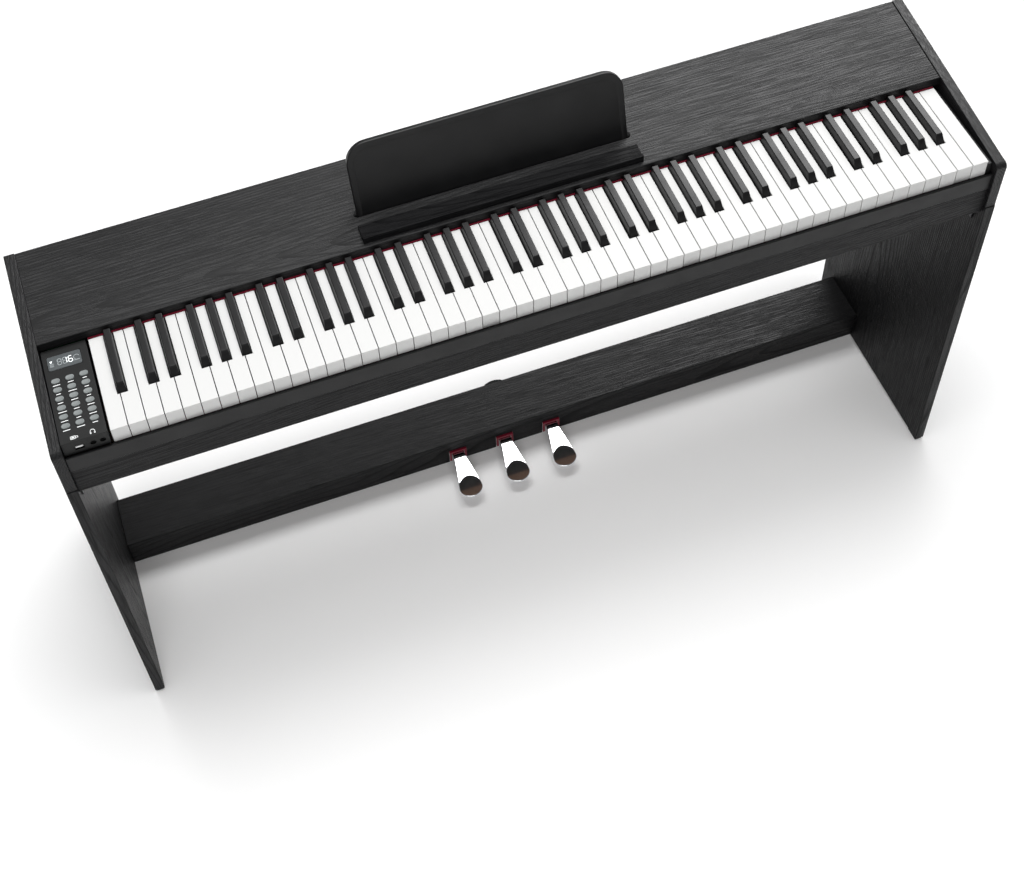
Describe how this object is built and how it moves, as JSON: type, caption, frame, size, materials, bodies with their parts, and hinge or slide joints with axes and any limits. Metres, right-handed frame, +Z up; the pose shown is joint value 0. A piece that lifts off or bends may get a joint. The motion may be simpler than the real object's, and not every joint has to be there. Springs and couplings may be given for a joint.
{
  "type": "digital piano on stand",
  "caption": "Full-length digital piano on a black wood-grain panel stand, with hinged keys, control panel with press buttons, lift-off music rest and a pedal box with sprung pedals.",
  "frame": {"origin": "on the floor at the centre of the footprint of the two side panels", "axes": "+X towards the treble end, +Y towards the back, +Z up"},
  "size_m": [1.325, 0.346, 0.8283],
  "materials": {
    "black_woodgrain": "black wood-grain foil, satin",
    "black_painted_board": "black painted board, satin",
    "fibreboard": "raw brown hardboard, sprayed black at the back",
    "ivory_white_plastic": "semi gloss",
    "satin_black_plastic": "satin",
    "panel_black_plastic": "fine matt",
    "grey_black_plastic": "matt",
    "glide_plastic": "matt",
    "light_grey_rubber": "soft matt",
    "smoked_window": "smoked, gloss",
    "chromed_steel": "mirror chrome",
    "zinc_plated_steel": "zinc plated",
    "spring_steel": "bright wire",
    "black_painted_steel": "black oxide",
    "red_felt": "dense wool felt",
    "green_laminate": "circuit board laminate"
  },
  "bodies": {
    "cabinet": {"back_panel": "black_painted_board", "bottom_board": "fibreboard", "contact_board": "green_laminate", "control_panel": "panel_black_plastic", "corner_brackets": "black_painted_steel", "display_window": "smoked_window", "floor_glides": "glide_plastic", "front_apron": "black_woodgrain", "key_chassis": "grey_black_plastic", "key_slip": "satin_black_plastic", "key_springs": "spring_steel", "left_cheek": "black_woodgrain", "left_leg_panel": "black_woodgrain", "main_board": "green_laminate", "pedal_box_back": "black_woodgrain", "pedal_box_front": "black_woodgrain", "pedal_box_top": "black_woodgrain", "pedal_frame": "zinc_plated_steel", "pedal_springs": "spring_steel", "red_felts": "red_felt", "rest_ledge": "black_woodgrain", "right_cheek": "black_woodgrain", "right_leg_panel": "black_woodgrain", "screws": "black_painted_steel", "speakers": "grey_black_plastic", "top_board": "black_woodgrain"},
    "black_keys_A_sharp": {"black_keys_A_sharp": "satin_black_plastic"},
    "black_keys_C_sharp": {"black_keys_C_sharp": "satin_black_plastic"},
    "black_keys_D_sharp": {"black_keys_D_sharp": "satin_black_plastic"},
    "black_keys_F_sharp": {"black_keys_F_sharp": "satin_black_plastic"},
    "black_keys_G_sharp": {"black_keys_G_sharp": "satin_black_plastic"},
    "white_keys_A": {"white_keys_A": "ivory_white_plastic"},
    "white_keys_B": {"white_keys_B": "ivory_white_plastic"},
    "white_keys_C": {"white_keys_C": "ivory_white_plastic"},
    "white_keys_D": {"white_keys_D": "ivory_white_plastic"},
    "white_keys_E": {"white_keys_E": "ivory_white_plastic"},
    "white_keys_F": {"white_keys_F": "ivory_white_plastic"},
    "white_keys_G": {"white_keys_G": "ivory_white_plastic"},
    "left_pedal": {"left_pedal": "chromed_steel"},
    "middle_pedal": {"middle_pedal": "chromed_steel"},
    "right_pedal": {"right_pedal": "chromed_steel"},
    "panel_button_01": {"panel_button_01": "light_grey_rubber"},
    "panel_button_02": {"panel_button_02": "light_grey_rubber"},
    "panel_button_03": {"panel_button_03": "light_grey_rubber"},
    "panel_button_04": {"panel_button_04": "light_grey_rubber"},
    "panel_button_05": {"panel_button_05": "light_grey_rubber"},
    "panel_button_06": {"panel_button_06": "light_grey_rubber"},
    "panel_button_07": {"panel_button_07": "light_grey_rubber"},
    "panel_button_08": {"panel_button_08": "light_grey_rubber"},
    "panel_button_09": {"panel_button_09": "light_grey_rubber"},
    "panel_button_10": {"panel_button_10": "light_grey_rubber"},
    "panel_button_11": {"panel_button_11": "light_grey_rubber"},
    "panel_button_12": {"panel_button_12": "light_grey_rubber"},
    "panel_button_13": {"panel_button_13": "light_grey_rubber"},
    "panel_button_14": {"panel_button_14": "light_grey_rubber"},
    "panel_button_15": {"panel_button_15": "light_grey_rubber"},
    "panel_button_16": {"panel_button_16": "light_grey_rubber"},
    "panel_button_17": {"panel_button_17": "light_grey_rubber"},
    "panel_button_18": {"panel_button_18": "light_grey_rubber"},
    "music_rest": {"music_rest": "black_painted_board"}
  },
  "joints": [
    {"name": "black_keys_A_sharp_dip", "type": "hinge", "parent": "cabinet", "child": "black_keys_A_sharp", "pos_m": [0, 0.06, 0.684], "axis": [1, 0, 0], "range_deg": [0, 2.6], "stiffness_Nm_per_rad": 5.5, "springref_deg": -17.19},
    {"name": "black_keys_C_sharp_dip", "type": "hinge", "parent": "cabinet", "child": "black_keys_C_sharp", "pos_m": [0, 0.06, 0.684], "axis": [1, 0, 0], "range_deg": [0, 2.6], "stiffness_Nm_per_rad": 5.5, "springref_deg": -17.19},
    {"name": "black_keys_D_sharp_dip", "type": "hinge", "parent": "cabinet", "child": "black_keys_D_sharp", "pos_m": [0, 0.06, 0.684], "axis": [1, 0, 0], "range_deg": [0, 2.6], "stiffness_Nm_per_rad": 5.5, "springref_deg": -17.19},
    {"name": "black_keys_F_sharp_dip", "type": "hinge", "parent": "cabinet", "child": "black_keys_F_sharp", "pos_m": [0, 0.06, 0.684], "axis": [1, 0, 0], "range_deg": [0, 2.6], "stiffness_Nm_per_rad": 5.5, "springref_deg": -17.19},
    {"name": "black_keys_G_sharp_dip", "type": "hinge", "parent": "cabinet", "child": "black_keys_G_sharp", "pos_m": [0, 0.06, 0.684], "axis": [1, 0, 0], "range_deg": [0, 2.6], "stiffness_Nm_per_rad": 5.5, "springref_deg": -17.19},
    {"name": "white_keys_A_dip", "type": "hinge", "parent": "cabinet", "child": "white_keys_A", "pos_m": [0, 0.06, 0.684], "axis": [1, 0, 0], "range_deg": [0, 2.6], "stiffness_Nm_per_rad": 5.5, "springref_deg": -17.19},
    {"name": "white_keys_B_dip", "type": "hinge", "parent": "cabinet", "child": "white_keys_B", "pos_m": [0, 0.06, 0.684], "axis": [1, 0, 0], "range_deg": [0, 2.6], "stiffness_Nm_per_rad": 5.5, "springref_deg": -17.19},
    {"name": "white_keys_C_dip", "type": "hinge", "parent": "cabinet", "child": "white_keys_C", "pos_m": [0, 0.06, 0.684], "axis": [1, 0, 0], "range_deg": [0, 2.6], "stiffness_Nm_per_rad": 5.5, "springref_deg": -17.19},
    {"name": "white_keys_D_dip", "type": "hinge", "parent": "cabinet", "child": "white_keys_D", "pos_m": [0, 0.06, 0.684], "axis": [1, 0, 0], "range_deg": [0, 2.6], "stiffness_Nm_per_rad": 5.5, "springref_deg": -17.19},
    {"name": "white_keys_E_dip", "type": "hinge", "parent": "cabinet", "child": "white_keys_E", "pos_m": [0, 0.06, 0.684], "axis": [1, 0, 0], "range_deg": [0, 2.6], "stiffness_Nm_per_rad": 5.5, "springref_deg": -17.19},
    {"name": "white_keys_F_dip", "type": "hinge", "parent": "cabinet", "child": "white_keys_F", "pos_m": [0, 0.06, 0.684], "axis": [1, 0, 0], "range_deg": [0, 2.6], "stiffness_Nm_per_rad": 5.5, "springref_deg": -17.19},
    {"name": "white_keys_G_dip", "type": "hinge", "parent": "cabinet", "child": "white_keys_G", "pos_m": [0, 0.06, 0.684], "axis": [1, 0, 0], "range_deg": [0, 2.6], "stiffness_Nm_per_rad": 5.5, "springref_deg": -17.19},
    {"name": "left_pedal_press", "type": "hinge", "parent": "cabinet", "child": "left_pedal", "pos_m": [0, 0.118, 0.0315], "axis": [1, 0, 0], "range_deg": [0, 4.5], "stiffness_Nm_per_rad": 5, "springref_deg": -17.19},
    {"name": "middle_pedal_press", "type": "hinge", "parent": "cabinet", "child": "middle_pedal", "pos_m": [0, 0.118, 0.0315], "axis": [1, 0, 0], "range_deg": [0, 4.5], "stiffness_Nm_per_rad": 5, "springref_deg": -17.19},
    {"name": "right_pedal_press", "type": "hinge", "parent": "cabinet", "child": "right_pedal", "pos_m": [0, 0.118, 0.0315], "axis": [1, 0, 0], "range_deg": [0, 4.5], "stiffness_Nm_per_rad": 5, "springref_deg": -17.19},
    {"name": "panel_button_01_press", "type": "slide", "parent": "cabinet", "child": "panel_button_01", "axis": [0, 0, -1], "range_m": [0, 0.001], "stiffness_N_per_m": 800, "springref_m": -0.001},
    {"name": "panel_button_02_press", "type": "slide", "parent": "cabinet", "child": "panel_button_02", "axis": [0, 0, -1], "range_m": [0, 0.001], "stiffness_N_per_m": 800, "springref_m": -0.001},
    {"name": "panel_button_03_press", "type": "slide", "parent": "cabinet", "child": "panel_button_03", "axis": [0, 0, -1], "range_m": [0, 0.001], "stiffness_N_per_m": 800, "springref_m": -0.001},
    {"name": "panel_button_04_press", "type": "slide", "parent": "cabinet", "child": "panel_button_04", "axis": [0, 0, -1], "range_m": [0, 0.001], "stiffness_N_per_m": 800, "springref_m": -0.001},
    {"name": "panel_button_05_press", "type": "slide", "parent": "cabinet", "child": "panel_button_05", "axis": [0, 0, -1], "range_m": [0, 0.001], "stiffness_N_per_m": 800, "springref_m": -0.001},
    {"name": "panel_button_06_press", "type": "slide", "parent": "cabinet", "child": "panel_button_06", "axis": [0, 0, -1], "range_m": [0, 0.001], "stiffness_N_per_m": 800, "springref_m": -0.001},
    {"name": "panel_button_07_press", "type": "slide", "parent": "cabinet", "child": "panel_button_07", "axis": [0, 0, -1], "range_m": [0, 0.001], "stiffness_N_per_m": 800, "springref_m": -0.001},
    {"name": "panel_button_08_press", "type": "slide", "parent": "cabinet", "child": "panel_button_08", "axis": [0, 0, -1], "range_m": [0, 0.001], "stiffness_N_per_m": 800, "springref_m": -0.001},
    {"name": "panel_button_09_press", "type": "slide", "parent": "cabinet", "child": "panel_button_09", "axis": [0, 0, -1], "range_m": [0, 0.001], "stiffness_N_per_m": 800, "springref_m": -0.001},
    {"name": "panel_button_10_press", "type": "slide", "parent": "cabinet", "child": "panel_button_10", "axis": [0, 0, -1], "range_m": [0, 0.001], "stiffness_N_per_m": 800, "springref_m": -0.001},
    {"name": "panel_button_11_press", "type": "slide", "parent": "cabinet", "child": "panel_button_11", "axis": [0, 0, -1], "range_m": [0, 0.001], "stiffness_N_per_m": 800, "springref_m": -0.001},
    {"name": "panel_button_12_press", "type": "slide", "parent": "cabinet", "child": "panel_button_12", "axis": [0, 0, -1], "range_m": [0, 0.001], "stiffness_N_per_m": 800, "springref_m": -0.001},
    {"name": "panel_button_13_press", "type": "slide", "parent": "cabinet", "child": "panel_button_13", "axis": [0, 0, -1], "range_m": [0, 0.001], "stiffness_N_per_m": 800, "springref_m": -0.001},
    {"name": "panel_button_14_press", "type": "slide", "parent": "cabinet", "child": "panel_button_14", "axis": [0, 0, -1], "range_m": [0, 0.001], "stiffness_N_per_m": 800, "springref_m": -0.001},
    {"name": "panel_button_15_press", "type": "slide", "parent": "cabinet", "child": "panel_button_15", "axis": [0, 0, -1], "range_m": [0, 0.001], "stiffness_N_per_m": 800, "springref_m": -0.001},
    {"name": "panel_button_16_press", "type": "slide", "parent": "cabinet", "child": "panel_button_16", "axis": [0, 0, -1], "range_m": [0, 0.001], "stiffness_N_per_m": 800, "springref_m": -0.001},
    {"name": "panel_button_17_press", "type": "slide", "parent": "cabinet", "child": "panel_button_17", "axis": [0, 0, -1], "range_m": [0, 0.001], "stiffness_N_per_m": 800, "springref_m": -0.001},
    {"name": "panel_button_18_press", "type": "slide", "parent": "cabinet", "child": "panel_button_18", "axis": [0, 0, -1], "range_m": [0, 0.001], "stiffness_N_per_m": 800, "springref_m": -0.001},
    {"name": "music_rest_lift", "type": "slide", "parent": "cabinet", "child": "music_rest", "axis": [0, 0.2588, 0.9659], "range_m": [0, 0.03]}
  ]
}
